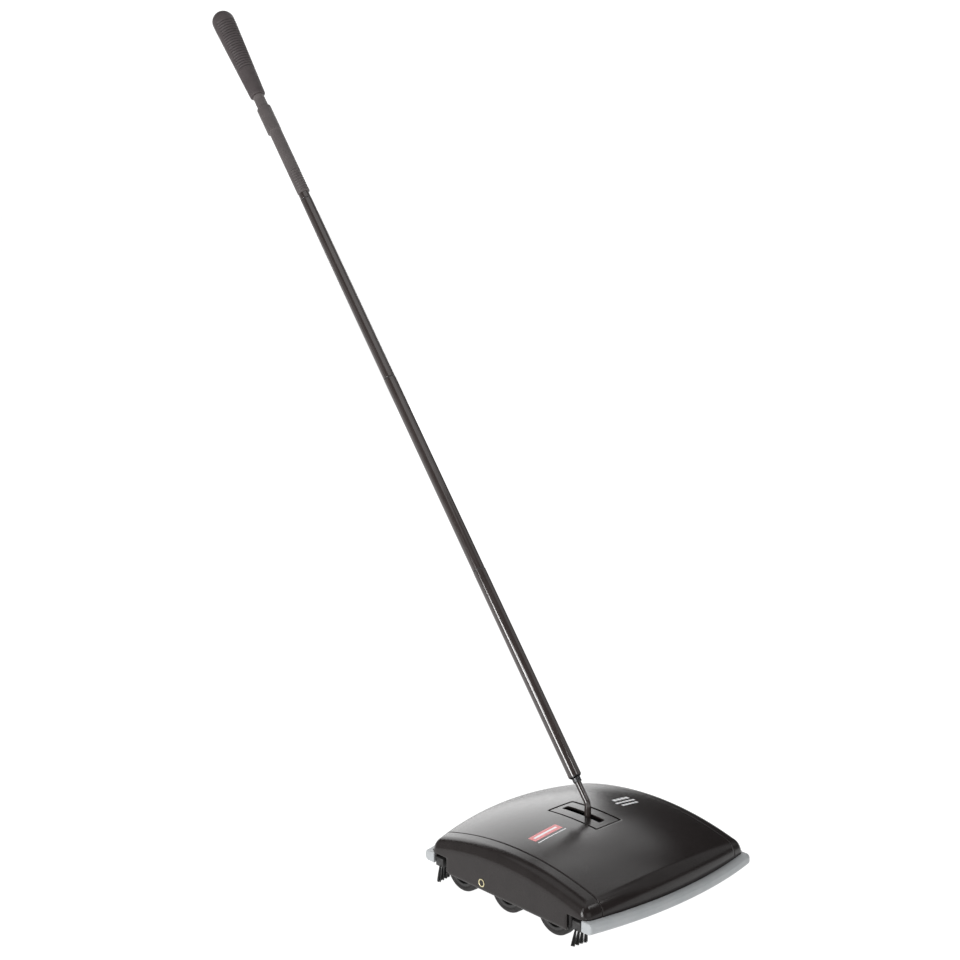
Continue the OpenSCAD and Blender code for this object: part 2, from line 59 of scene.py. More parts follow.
def corners(*nodes):
    """Lowest and highest corner of some CAD nodes, in millimetres."""
    boxes = [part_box(n) for n in nodes]
    low = [min(b[0][k] for b in boxes) / MM for k in range(3)]
    high = [max(b[1][k] for b in boxes) / MM for k in range(3)]
    return low, high


COVER = corners("top_cover")
CAP = corners("right_end_cap")
BUMPER = corners("front_bumper")
TYRE = corners("middle_right_tyre")

HALF_W = CAP[1][0]
COVER_X = COVER[1][0]
CAP_X = CAP[0][0]
CROWN_Z = COVER[1][2]
CAP_Z = CAP[0][2]
SKIRT_Y = COVER[1][1]
CROWN_R = 400.0    # crown from front to rear
CROSS_R = 555.0    # crown from side to side
BOW_R = 530.0      # bow of the skirts in plan
SHOULDER_R = 12.0  # between crown and walls
CORNER_R = 8.0     # upright corners
WALL = 2.1
CROWN_AXIS_Z = CROWN_Z - CROWN_R
BOW_Y = BOW_R - SKIRT_Y
BUMPER_Z = BUMPER[0][2]
BUMPER_H = BUMPER[1][2] - BUMPER_Z
BUMPER_OUT = BOW_Y - BUMPER[0][1] - BOW_R
BUMPER_X = BUMPER[1][0]
SKIRT_Z = BUMPER_Z + BUMPER_H + 0.2
FLANGE_R = BOW_R - 5
NOTCH_Y = 88.0
STRAIGHT_Y = 100.0
WINDOW_X = 18.9
WINDOW_Y = (-31.2, 40.8)
SLOT_X = 4.3
SLOT_Y = (-21.0, 33.0)
INSERT_DROP = 0.3
INSERT_GAP = 1.5
INSERT_PLATE = 2.3
LEDGE = (2.35, 3.6)  # top and foot of the insert's ledge, below the crown
WHEEL_R = (TYRE[1][2] - TYRE[0][2]) / 2
WHEEL_X = TYRE[1][0]
WHEEL_W = TYRE[1][0] - TYRE[0][0]
WHEEL_PITCH = 67.0
RIM_R = 18.0
AXLE_R = 2.55
BRUSH_Y = WHEEL_PITCH / 2
BRUSH_Z = 21.5
BRISTLE_R = 20.6
BRISTLE_X = 99.0
HINGE_Y = 99.0
HINGE_Z = 16.0
PIVOT_Z = 48.0
TILT = math.radians(37.4)
FOOT = Vector((0, 19, 109))
TUBE_R = 6.6
TUBE_STEP = 0.2
TUBE_WALL = 0.6
ROD_R = 3.5
TUBES = 4
SECTION = 245.6
HANDLE_L = 1012.0
HANDLE = Matrix.Translation(FOOT) @ Matrix.Rotation(-TILT, 4, "X")


# ---- mesh helpers ----

def steps(*stops):
    """Values from the first stop to the last, where stops are value, pitch, value, pitch, ... value."""
    out = [float(stops[0])]
    for a, pitch, b in zip(stops[::2], stops[1::2], stops[2::2]):
        n = max(1, round(abs(b - a) / pitch))
        out += [a + (b - a) * (i + 1) / n for i in range(n)]
    return out


def arc(cx, cy, r, a0, a1, n):
    """Points of an arc in a plane, with angles in degrees."""
    angles = [math.radians(a0 + (a1 - a0) * i / n) for i in range(n + 1)]
    return [(cx + r * math.cos(a), cy + r * math.sin(a)) for a in angles]


def grid(bm, rows, keep=None):
    """Quads over rows of points of equal length. keep says by its centre whether a quad is made."""
    verts = [[bm.verts.new(p) for p in row] for row in rows]
    for upper, lower in zip(verts, verts[1:]):
        for i in range(len(upper) - 1):
            quad = (upper[i], upper[i + 1], lower[i + 1], lower[i])
            if keep is None or keep(sum((v.co for v in quad), Vector()) / 4):
                bm.faces.new(quad)
    return verts


def drop_loose(bm):
    """Deletes points that no face uses."""
    bmesh.ops.delete(bm, geom=[v for v in bm.verts if not v.link_faces], context="VERTS")


def loft(bm, rings, closed=True):
    """Skin over rings of points, with a flat end at both ends unless the rings close on each other."""
    verts = [[bm.verts.new(p) for p in ring] for ring in rings]
    n = len(verts[0])
    pairs = list(zip(verts, verts[1:])) if closed else list(zip(verts, verts[1:] + verts[:1]))
    for a, b in pairs:
        for i in range(n):
            j = (i + 1) % n
            bm.faces.new((a[i], a[j], b[j], b[i]))
    if closed:
        bm.faces.new(verts[0][::-1])
        bm.faces.new(verts[-1])


def lathe(bm, profile, place=Matrix(), n=64, ripple=None):
    """Turns a closed profile of (radius, height) round the Z axis of place.

    ripple(angle, radius, height) gives the radius to use instead.
    """
    rings = []
    for k in range(n):
        a = 2 * math.pi * k / n
        ring = []
        for r, h in profile:
            r = r if ripple is None else ripple(a, r, h)
            ring.append(place @ Vector((r * math.cos(a), r * math.sin(a), h)))
        rings.append(ring)
    loft(bm, rings, closed=False)


def frames_along(path):
    """A frame at each point of a path, with Z along it, that doesn't twist on the way."""
    out = []
    across = None
    for i, p in enumerate(path):
        ahead = (path[min(i + 1, len(path) - 1)] - path[max(i - 1, 0)]).normalized()
        if across is None:
            across = ahead.orthogonal().normalized()
        across = (across - ahead * across.dot(ahead)).normalized()
        out.append((p, across, ahead.cross(across)))
    return out


def tube(bm, path, r, n):
    """Round bar of radius r and n sides along a path."""
    angles = [2 * math.pi * k / n for k in range(n)]
    rings = []
    for p, u, v in frames_along(path):
        rings.append([p + r * (u * math.cos(a) + v * math.sin(a)) for a in angles])
    loft(bm, rings)


def block(bm, low, high):
    """Box between two corners."""
    (x0, y0, z0), (x1, y1, z1) = low, high
    loft(bm, [[(x0, y0, z), (x1, y0, z), (x1, y1, z), (x0, y1, z)] for z in (z0, z1)])


def outward(bm, open_from=None):
    """Turns the faces outward. An open skin is turned away from the point open_from."""
    bmesh.ops.recalc_face_normals(bm, faces=bm.faces)
    if open_from is not None:
        away = sum((f.calc_center_median() - open_from).dot(f.normal) * f.calc_area() for f in bm.faces)
        if away < 0:
            bmesh.ops.reverse_faces(bm, faces=bm.faces)


def bake(obj):
    """Replaces the modifiers of an object by the mesh that they make."""
    bpy.context.view_layer.update()
    mesh = bpy.data.meshes.new_from_object(obj.evaluated_get(bpy.context.evaluated_depsgraph_get()))
    obj.modifiers.clear()
    obj.data = mesh


def make(name, bm, body, slot, replaces=(), bevel=0.0, sharp=35):
    """Writes a piece in metres, with edges rounded if bevel says so, and rides it on a body."""
    bmesh.ops.scale(bm, vec=(MM, MM, MM), verts=bm.verts)
    mesh = bpy.data.meshes.new(name)
    bm.to_mesh(mesh)
    bm.free()
    obj = bpy.data.objects.new(name, mesh)
    bpy.context.scene.collection.objects.link(obj)
    mesh.shade_smooth()
    if bevel:
        edge = obj.modifiers.new("edge", "BEVEL")
        edge.width = bevel * MM
        edge.segments = 2
        edge.limit_method = "ANGLE"
        edge.angle_limit = math.radians(sharp)
        edge.harden_normals = True
        bake(obj)
    obj.data.set_sharp_from_angle(angle=math.radians(sharp))
    obj.data.materials.clear()
    obj.data.materials.append(MATERIALS[slot])
    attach(obj, body)
    if replaces:
        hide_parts(*replaces)
    return obj


# ---- materials ----

MATERIALS = {}


class Nodes:
    """Builds one node material. Its textures are placed by the object's own coordinates, in metres."""

    def __init__(self, name):
        self.material = bpy.data.materials.new(name)
        self.material.use_nodes = True
        self.tree = self.material.node_tree
        self.shader = self.tree.nodes["Principled BSDF"]
        self.place = self.add("ShaderNodeTexCoord").outputs["Object"]
        MATERIALS[name] = self.material

    def add(self, kind, **values):
        node = self.tree.nodes.new(kind)
        for key, value in values.items():
            if hasattr(node, key):
                setattr(node, key, value)
            else:
                node.inputs[key].default_value = value
        return node

    def link(self, a, b):
        self.tree.links.new(a, b)

    def noise(self, scale, detail=3.0, roughness=0.5, stretch=None):
        node = self.add("ShaderNodeTexNoise", Scale=scale, Detail=detail, Roughness=roughness)
        place = self.place
        if stretch:
            mapping = self.add("ShaderNodeMapping", Scale=stretch)
            self.link(place, mapping.inputs["Vector"])
            place = mapping.outputs["Vector"]
        self.link(place, node.inputs["Vector"])
        return node.outputs["Fac"]

    def range(self, source, low, high, start=0.3, end=0.7):
        node = self.add("ShaderNodeMapRange")
        for key, value in zip(("From Min", "From Max", "To Min", "To Max"), (start, end, low, high)):
            node.inputs[key].default_value = value
        self.link(source, node.inputs["Value"])
        return node.outputs["Result"]

    def blend(self, factor, a, b):
        """Colour between a and b. Either may be a colour or a socket."""
        node = self.add("ShaderNodeMix", data_type="RGBA")
        self.link(factor, node.inputs["Factor"])
        for index, value in ((6, a), (7, b)):
            if hasattr(value, "is_linked"):
                self.link(value, node.inputs[index])
            else:
                node.inputs[index].default_value = (*value, 1)
        return node.outputs[2]

    def edges(self, start=0.52, end=0.62):
        """Pointiness mapped from 0 to 1: how worn a convex edge is, or, with a lower range, a mask of the
        hollows that get painted shade.
        """
        return self.range(self.add("ShaderNodeNewGeometry").outputs["Pointiness"], 0, 1, start, end)

    def bump(self, source, distance, strength=1.0, after=None):
        node = self.add("ShaderNodeBump", Strength=strength, Distance=distance)
        self.link(source, node.inputs["Height"])
        if after is not None:
            self.link(after, node.inputs["Normal"])
        return node.outputs["Normal"]

    def finish(self, colour=None, roughness=None, normal=None, **values):
        for key, value in values.items():
            self.shader.inputs[key.replace("_", " ")].default_value = value
        for key, socket in (("Base Color", colour), ("Roughness", roughness), ("Normal", normal)):
            if socket is not None:
                self.link(socket, self.shader.inputs[key])


def moulded(name, dark, light, rough, grain=0.00004, grain_scale=2600, ior=1.45, worn=None, painted_hollow_shade=None):
    """Moulded plastic with a fine grain, a slightly uneven gloss, paler rubbed edges and, when a colour is
    given, painted shade darkening the hollows.
    """
    n = Nodes(name)
    tone = n.blend(n.range(n.noise(60, 4), 0, 1), dark, light)
    colour = n.blend(n.edges(), tone, worn or tuple(min(1, 1.5 * c + 0.01) for c in light))
    if painted_hollow_shade:
        # painted shade: hollows found by low pointiness are darkened towards the given colour
        colour = n.blend(n.edges(0.42, 0.50), painted_hollow_shade, colour)
    sheen = n.range(n.noise(220, 3), rough[0], rough[1])
    fine = n.bump(n.noise(grain_scale, 2, 0.6), grain)
    n.finish(colour, sheen, n.bump(n.noise(35, 2), 0.00012, 0.12, after=fine), IOR=ior)


def metal(name, dark, light, rough, stretch):
    """Sheet or turned metal with drawing marks along one direction."""
    n = Nodes(name)
    marks = n.noise(300, 4, 0.6, stretch)
    colour = n.blend(n.range(n.noise(90, 4), 0, 1), dark, light)
    n.finish(colour, n.range(marks, rough[0], rough[1]), n.bump(marks, 0.00002, 0.6), Metallic=1.0)


def enamel(name):
    """Gloss black paint on steel tube, with a slight orange peel and rubbed high spots."""
    n = Nodes(name)
    tone = n.blend(n.range(n.noise(45, 4), 0, 1), (0.036, 0.028, 0.026), (0.046, 0.037, 0.035))
    colour = n.blend(n.edges(0.54, 0.66), tone, (0.09, 0.085, 0.08))
    peel = n.bump(n.noise(500, 2), 0.000006, 0.5)
    n.finish(colour, n.range(n.noise(160, 4), 0.10, 0.15), peel, IOR=1.7)


def fibre(name, dark, light, along):
    """Bristle fibre, with a tone that changes from strand to strand."""
    n = Nodes(name)
    colour = n.blend(n.range(n.noise(900, 2, 0.5, along), 0, 1), dark, light)
    n.finish(colour, n.range(n.noise(1500, 2), 0.35, 0.55), Sheen_Weight=0.15, Sheen_Roughness=0.4)


def print_ink(name, colour, pale, rough):
    """Screen-printed ink: thin, slightly broken by the grain below it."""
    n = Nodes(name)
    tone = n.blend(n.range(n.noise(1400, 3), 0, 1, 0.42, 0.58), colour, pale)
    n.finish(tone, n.range(n.noise(500, 3), rough, rough + 0.1), n.bump(n.noise(2600, 2, 0.6), 0.00003))


def build_materials():
    moulded("black_cover", (0.0145, 0.0115, 0.011), (0.0185, 0.0150, 0.0145), (0.20, 0.24), 0.00002,
            ior=1.38)
    moulded("dark_plastic", (0.010, 0.010, 0.010), (0.016, 0.015, 0.015), (0.42, 0.52))
    moulded("grey_vinyl", (0.37, 0.39, 0.40), (0.42, 0.435, 0.445), (0.42, 0.56), 0.00005, 1500,
            worn=(0.48, 0.49, 0.50))
    moulded("tyre_rubber", (0.011, 0.010, 0.010), (0.018, 0.016, 0.016), (0.55, 0.7), 0.00008, 1800, 1.4)
    moulded("handle_plastic", (0.085, 0.073, 0.072), (0.105, 0.092, 0.091), (0.45, 0.6), 0.00006, 2000)
    # the grip's rib grooves get painted shade from the dark hollow colour
    moulded("grip", (0.056, 0.045, 0.046), (0.074, 0.062, 0.063), (0.55, 0.72), 0.00008, 1700,
            painted_hollow_shade=(0.012, 0.008, 0.009))
    moulded("nylon", (0.62, 0.60, 0.53), (0.72, 0.70, 0.64), (0.35, 0.45))
    moulded("brush_core", (0.08, 0.08, 0.085), (0.11, 0.11, 0.115), (0.45, 0.6))
    metal("zinc_steel", (0.46, 0.47, 0.48), (0.62, 0.63, 0.64), (0.28, 0.5), (1, 12, 12))
    metal("dark_steel", (0.05, 0.05, 0.052), (0.09, 0.09, 0.092), (0.3, 0.5), (1, 8, 8))
    metal("bright_steel", (0.60, 0.60, 0.61), (0.72, 0.72, 0.73), (0.18, 0.32), (1, 12, 12))
    metal("brass", (0.62, 0.56, 0.34), (0.78, 0.72, 0.48), (0.25, 0.4), (12, 1, 1))
    enamel("black_enamel")
    fibre("bristle", (0.006, 0.006, 0.006), (0.014, 0.013, 0.012), (1, 1, 0.05))
    print_ink("red_ink", (0.68, 0.14, 0.15), (0.78, 0.26, 0.27), 0.35)
    print_ink("white_ink", (0.80, 0.80, 0.82), (0.88, 0.88, 0.90), 0.4)


# ---- outer form of the head ----

def rounded_both(a, b, r):
    """Distance to what lies within both a and b, with the edge between them rounded to r."""
    inside = np.minimum(np.maximum(a, b), -r)
    return inside + np.hypot(np.maximum(a + r, 0), np.maximum(b + r, 0))


def head_distance(p):
    """Distance of points from the outer form: the crown between side walls and bowed skirts."""
    x, y, z = p.T
    crown = np.hypot(y, z - CROWN_AXIS_Z) - (CROWN_R - x * x / (2 * CROSS_R))
    wall = np.abs(x) - HALF_W
    skirt = np.hypot(x, np.abs(y) + BOW_Y) - BOW_R
    return rounded_both(crown, rounded_both(wall, skirt, CORNER_R), SHOULDER_R)


def onto_head(points):
    """Moves points onto the outer form. Near the seams they keep their X, so the seams stay flat."""
    p = np.array(points, float)
    fade, rounds, h, least = 6, 12, 0.01, 0.2
    free = np.clip((np.abs(p[:, 0]) - CAP_X - 1) / fade, 0, 1)
    freedom = np.stack([free, np.ones_like(free), np.ones_like(free)], 1)
    for _ in range(rounds):
        d = head_distance(p)
        slope = [(head_distance(p + h * e) - head_distance(p - h * e)) / (2 * h) for e in np.eye(3)]
        slope = np.stack(slope, 1)
        move = slope * freedom
        p -= move * (d / np.maximum((slope * move).sum(1), least))[:, None]
    return [tuple(q) for q in p]


def crown_height(x, y):
    """Height of the crown over a point of the floor."""
    return CROWN_AXIS_Z + math.sqrt((CROWN_R - x * x / (2 * CROSS_R)) ** 2 - y * y)


def skirt_edge(x):
    """How far the bowed skirt is from the middle at x."""
    return math.sqrt(BOW_R ** 2 - x * x) - BOW_Y


def row_y(y, x):
    """Place of a row at x: rows beyond the straight part follow the bowed skirt."""
    if abs(y) <= STRAIGHT_Y:
        return y
    share = (abs(y) - STRAIGHT_Y) / (SKIRT_Y - STRAIGHT_Y)
    return math.copysign(STRAIGHT_Y + share * (skirt_edge(x) - STRAIGHT_Y), y)


def snapped(values, targets):
    """The values with the nearest one moved onto each target."""
    out = list(values)
    for t in targets:
        i = min(range(len(out)), key=lambda k: abs(out[k] - t))
        out[i] = t
    return out


ROW_Y = steps(-SKIRT_Y, 1.1, -112, 2.4, -STRAIGHT_Y, 3, -NOTCH_Y, 4.2, WINDOW_Y[0] - 4, 1,
              WINDOW_Y[0] + 3, 4.2, WINDOW_Y[1] - 3, 1, WINDOW_Y[1] + 4, 4.2, NOTCH_Y, 3, STRAIGHT_Y, 2.4,
              112, 1.1, SKIRT_Y)
ROW_Y = snapped(ROW_Y, (*WINDOW_Y, -NOTCH_Y, NOTCH_Y))
SKIRT_ROWS = 14


def skirt_levels(top, low=()):
    """Heights down a skirt from its sharp upper edge to the bumper, and then the lower ones given."""
    return [top + (SKIRT_Z - top) * i / SKIRT_ROWS for i in range(SKIRT_ROWS + 1)] + list(low)


WALL_LOW = steps(SKIRT_Z, 2.8, CAP_Z)[1:]


def round_window(x, y, half_x, y0, y1, r):
    """Moves points at the corners of a rectangle onto a rounded corner of radius r."""
    near = 0.01
    cy, half_y = (y0 + y1) / 2, (y1 - y0) / 2
    dx, dy = abs(x) - (half_x - r), abs(y - cy) - (half_y - r)
    on_edge = abs(abs(x) - half_x) < near or abs(abs(y - cy) - half_y) < near
    if dx > 0 and dy > 0 and on_edge and abs(x) < half_x + near and abs(y - cy) < half_y + near:
        k = r / math.hypot(dx, dy)
        x = math.copysign(half_x - r + dx * k, x)
        y = cy + math.copysign(half_y - r + dy * k, y - cy)
    return x, y


def cover_shell():
    """Crowned cover between the seams, with the window for the handle insert."""
    xs = steps(-COVER_X, 1.5, -94, 4.5, -WINDOW_X - 3, 1, -WINDOW_X + 3, 4.2, WINDOW_X - 3, 1,
               WINDOW_X + 3, 4.5, 94, 1.5, COVER_X)
    xs = snapped(xs, (-WINDOW_X, WINDOW_X))
    bm = bmesh.new()
    rows = []
    for x in xs:
        edge = skirt_edge(x)
        levels = skirt_levels(crown_height(x, edge))[1:]
        line = [(x, -edge, z) for z in reversed(levels)]
        for y in ROW_Y:
            px, py = round_window(x, row_y(y, x), WINDOW_X, *WINDOW_Y, 2.5)
            line.append((px, py, crown_height(px, py)))
        line += [(x, edge, z) for z in levels]
        rows.append(onto_head(line))

    def outside_window(c):
        return not (abs(c.x) < WINDOW_X - 0.2 and WINDOW_Y[0] < c.y < WINDOW_Y[1] and c.z > 50)

    grid(bm, rows, outside_window)
    drop_loose(bm)
    outward(bm, Vector((0, 0, 0)))
    return bm


def flange(bm, x0, x1, side, low):
    """Wall behind a bumper with the ledge above it, along one bowed skirt."""
    inner, face, lip = FLANGE_R - 2, FLANGE_R - 0.05, BOW_R - 1.5
    profile = [(inner, low), (face, low), (face, SKIRT_Z + 0.05), (lip, SKIRT_Z + 0.05),
               (lip, SKIRT_Z + 2), (inner, SKIRT_Z + 2)]
    rings = []
    for x in steps(x0, 6, x1):
        rings.append([(x, side * (math.sqrt(r * r - x * x) - BOW_Y), z) for r, z in profile])
    loft(bm, rings)


def joined(*parts):
    """One bmesh from several."""
    whole = bmesh.new()
    for bm in parts:
        mesh = bpy.data.meshes.new("part")
        bm.to_mesh(mesh)
        bm.free()
        whole.from_mesh(mesh)
        bpy.data.meshes.remove(mesh)
    return whole


def thickened(bm, wall):
    """Closed shell of an open skin, with its wall on the inner side."""
    mesh = bpy.data.meshes.new("skin")
    bm.to_mesh(mesh)
    bm.free()
    obj = bpy.data.objects.new("skin", mesh)
    bpy.context.scene.collection.objects.link(obj)
    solid = obj.modifiers.new("wall", "SOLIDIFY")
    solid.thickness = wall
    solid.offset = -1
    bake(obj)
    out = bmesh.new()
    out.from_mesh(obj.data)
    bpy.data.objects.remove(obj)
    return out


def make_cover():
    skin = thickened(cover_shell(), WALL)
    ledges = bmesh.new()
    for _, side in ENDS:
        flange(ledges, -COVER_X, COVER_X, side, BUMPER_Z + 1)
    outward(ledges)
    make("cover_shell", joined(skin, ledges), "head", "black_cover", ["top_cover"], bevel=0.35, sharp=50)


def cap_skin(side):
    """Outer skin of an end cap: crown strip and side wall, then the ends of both skirts."""
    xs = steps(CAP_X, 1.0, HALF_W)
    bm = bmesh.new()
    rows = []
    for y in ROW_Y:
        line = []
        for x in xs:
            py = row_y(y, x)
            line.append((side * x, py, crown_height(x, py)))
        py = row_y(y, HALF_W)
        for z in skirt_levels(crown_height(HALF_W, py), WALL_LOW)[1:]:
            line.append((side * HALF_W, py, z))
        rows.append(onto_head(line))
    grid(bm, rows, lambda c: not (abs(c.y) > NOTCH_Y and c.z < SKIRT_Z - 0.5))
    for _, end in ENDS:
        rows = []
        for x in xs:
            levels = skirt_levels(crown_height(x, skirt_edge(x)))
            rows.append(onto_head([(side * x, end * skirt_edge(x), z) for z in levels]))
        grid(bm, rows)
    drop_loose(bm)
    bmesh.ops.remove_doubles(bm, verts=bm.verts, dist=0.02)
    outward(bm, Vector((side * 100, 0, 30)))
    return bm


def make_end_caps():
    for name, side in SIDES:
        skin = thickened(cap_skin(side), WALL - 0.2)
        ledges = bmesh.new()
        for _, end in ENDS:
            x0, x1 = sorted((side * CAP_X, side * (HALF_W - 2.5)))
            flange(ledges, x0, x1, end, BUMPER_Z + 2)
        outward(ledges)
        make(name + "_cap_shell", joined(skin, ledges), "head", "black_cover", [name + "_end_cap"], bevel=0.3,
             sharp=50)


# ---- bumpers and insert ----

def make_bumpers():
    """Vinyl strips with a flat back, a rounded face and rounded ends."""
    back = FLANGE_R + 0.05
    out = BOW_R + BUMPER_OUT
    top = BUMPER_Z + BUMPER_H
    r = 4.0
    end_r = 1.6
    outline = [(back, BUMPER_Z)] + arc(out - r, BUMPER_Z + r, r, -90, 0, 8)
    outline += arc(out - r, top - r, r, 0, 90, 8) + [(back, top)]
    middle = ((back + out) / 2, (BUMPER_Z + top) / 2)
    for name, side in ENDS:
        bm = bmesh.new()
        rings = []
        for x in steps(-BUMPER_X, 0.27, -BUMPER_X + end_r, 4, BUMPER_X - end_r, 0.27, BUMPER_X):
            depth = max(0.0, abs(x) - (BUMPER_X - end_r))
            inset = end_r - math.sqrt(max(end_r ** 2 - depth ** 2, 0))
            ring = []
            for rr, z in outline:
                rr = rr + max(-inset, min(inset, middle[0] - rr))
                z = z + max(-inset, min(inset, middle[1] - z))
                ring.append((x, side * (math.sqrt(rr * rr - x * x) - BOW_Y), z))
            rings.append(ring)
        loft(bm, rings)
        outward(bm)
        make(name + "_bumper_strip", bm, "head", "grey_vinyl", [name + "_bumper"], sharp=50)


def make_insert():
    """Recessed plate with the long slot that the handle rod swings in."""
    half_x = WINDOW_X - INSERT_GAP
    y0, y1 = WINDOW_Y[0] + INSERT_GAP, WINDOW_Y[1] - INSERT_GAP
    xs = snapped(steps(-half_x, 1, -half_x + 3, 3, -SLOT_X - 1.2, 0.6, -SLOT_X + 1.2, 2, SLOT_X - 1.2, 0.6,
                       SLOT_X + 1.2, 3, half_x - 3, 1, half_x), (-SLOT_X, SLOT_X))
    ys = snapped(steps(y0, 1, y0 + 3, 3, SLOT_Y[0] - 1.2, 0.6, SLOT_Y[0] + 1.2, 3, SLOT_Y[1] - 1.2, 0.6,
                       SLOT_Y[1] + 1.2, 2, y1 - 3, 1, y1), SLOT_Y)
    bm = bmesh.new()
    rows = []
    for x in xs:
        line = []
        for y in ys:
            px, py = round_window(x, y, half_x, y0, y1, 2.2)
            px, py = round_window(px, py, SLOT_X, *SLOT_Y, 1.2)
            line.append((px, py, crown_height(px, py) - INSERT_DROP))
        rows.append(line)
    grid(bm, rows, lambda c: not (abs(c.x) < SLOT_X - 0.1 and SLOT_Y[0] < c.y < SLOT_Y[1]))
    drop_loose(bm)
    outward(bm, Vector((0, 0, 0)))
    rim = bmesh.new()
    out = INSERT_GAP + 2
    for a, b in (((-half_x - out, y0 - out), (half_x + out, y0 + 1)),
                 ((-half_x - out, y1 - 1), (half_x + out, y1 + out)),
                 ((-half_x - out, y0 - out), (-half_x + 1, y1 + out)),
                 ((half_x - 1, y0 - out), (half_x + out, y1 + out))):
        ledge(rim, a, b)
    outward(rim)
    plate = joined(thickened(bm, INSERT_PLATE), rim)
    make("insert_plate", plate, "head", "black_cover", ["handle_insert"], bevel=0.45, sharp=50)


def ledge(bm, low, high):
    """Strip under the cover's edge that holds the insert, following the crown."""
    rings = []
    for y in steps(low[1], 4, high[1]):
        ring = []
        for x, down in ((low[0], LEDGE[1]), (high[0], LEDGE[1]), (high[0], LEDGE[0]), (low[0], LEDGE[0])):
            ring.append((x, y, crown_height(x, y) - down))
        rings.append(ring)
    loft(bm, rings)


def patch(bm, x0, x1, y0, y1, lift=0.02):
    """Thin layer of ink on the crown."""
    thick = 0.05
    rings = []
    for x in steps(x0, 2, x1):
        under = [(x, y, crown_height(x, y) + lift) for y in steps(y0, 2, y1)]
        over = [(x, y, crown_height(x, y) + lift + thick) for y in steps(y0, 2, y1)]
        rings.append(under + over[::-1])
    loft(bm, rings)


def make_prints():
    """Plain bars where the object carries a label and a small print: no lettering."""
    bm = bmesh.new()
    patch(bm, -79.5, -40.5, -3, 7.8)
    outward(bm)
    make("label_band", bm, "head", "red_ink")
    bm = bmesh.new()
    patch(bm, -76, -44, 1.1, 3.9, 0.06)
    patch(bm, -79.7, -39.8, -7.8, -6.5)
    rows = ((52, 6.2, 4.9, 9.2, 5.4, 4), (47.5, 4.9, 4.1, 1.6, 3.4, 6), (49, 5.0, 4.2, -5.8, 3.4, 5))
    for first, pitch, wide, low, tall, count in rows:
        for k in range(count):
            patch(bm, first + pitch * k, first + pitch * k + wide, low, low + tall)
    outward(bm)
    make("print_bars", bm, "head", "white_ink")


# ---- wheels, brushes and springs ----

def facing_in(side, x, y, z):
    """Frame at a point of an outer face, with Z pointing inward along X."""
    return Matrix.Translation((x, y, z)) @ Matrix.Rotation(math.radians(-90 * side), 4, "Y")


def tread(a, r, _):
    """Shallow cross grooves in the rolling surface."""
    lugs, deep = 40, 0.45
    if r < WHEEL_R - 0.05:
        return r
    return r - deep * max(0.0, math.sin(a * lugs)) ** 6


def make_wheels():
    """Grooved tyres on dished hubs with six ribs. Profiles start at the outer face."""
    inner = WHEEL_W - 0.4
    tyre = [(RIM_R, 0.6), (RIM_R + 1.2, 0.45), (RIM_R + 1.5, 0.15)] + arc(WHEEL_R - 3, 3, 3, -90, 0, 6)
    tyre += [(WHEEL_R, h) for h in (3.6, 4.6, 5.6, 6.6, 7.6)]
    tyre += arc(WHEEL_R - 1.5, WHEEL_W - 1.5, 1.5, 0, 90, 4) + [(RIM_R, WHEEL_W)]
    rim = [(AXLE_R, 1.6)] + arc(5.9, 2.2, 0.6, -90, 0, 3) + arc(7.6, 4.2, 0.8, 180, 90, 3)
    rim += arc(14.6, 4.4, 0.6, 90, 0, 3) + arc(15.8, 1.2, 0.6, 180, 270, 3)
    rim += [(RIM_R - 0.05, 0.6), (RIM_R - 0.05, inner), (14, inner), (13, 7.5), (8, 7.5), (7, 10.1),
            (AXLE_R, 10.1)]
    ribs = [(6.6, -0.5), (15.4, -0.5), (15.4, 0.5), (6.6, 0.5)]
    for name, side in SIDES:
        for place, y in (("front", -WHEEL_PITCH), ("middle", 0), ("rear", WHEEL_PITCH)):
            at = facing_in(side, side * WHEEL_X, y, WHEEL_R)
            wheel = f"{place}_{name}"
            bm = bmesh.new()
            lathe(bm, tyre, at, 240, tread)
            outward(bm)
            make(wheel + "_tread", bm, wheel + "_wheel", "tyre_rubber", [wheel + "_tyre"], sharp=40)
            bm = bmesh.new()
            lathe(bm, rim, at, 72)
            for k in range(6):
                turn = at @ Matrix.Rotation(math.radians(60 * k + 30), 4, "Z")
                loft(bm, [[turn @ Vector((x, w, h)) for x, w in ribs] for h in (3.2, 5.4)])
            outward(bm)
            make(wheel + "_rim", bm, wheel + "_wheel", "dark_plastic", [wheel + "_hub"], sharp=35)


def bristle(bm, root, tip, width, bend=None):
    """One thin tapered bristle, with three sides."""
    along = (tip - root).normalized()
    u = along.orthogonal().normalized()
    v = along.cross(u)
    angles = [2 * math.pi * k / 3 for k in range(3)]
    rings = []
    for share, w in ((0.0, 1.0), (0.55, 0.95), (1.0, 0.55)):
        p = root.lerp(tip, share) + (bend * share * (1 - share) if bend else Vector())
        rings.append([p + w * width * (u * math.cos(a) + v * math.sin(a)) for a in angles])
    loft(bm, rings)


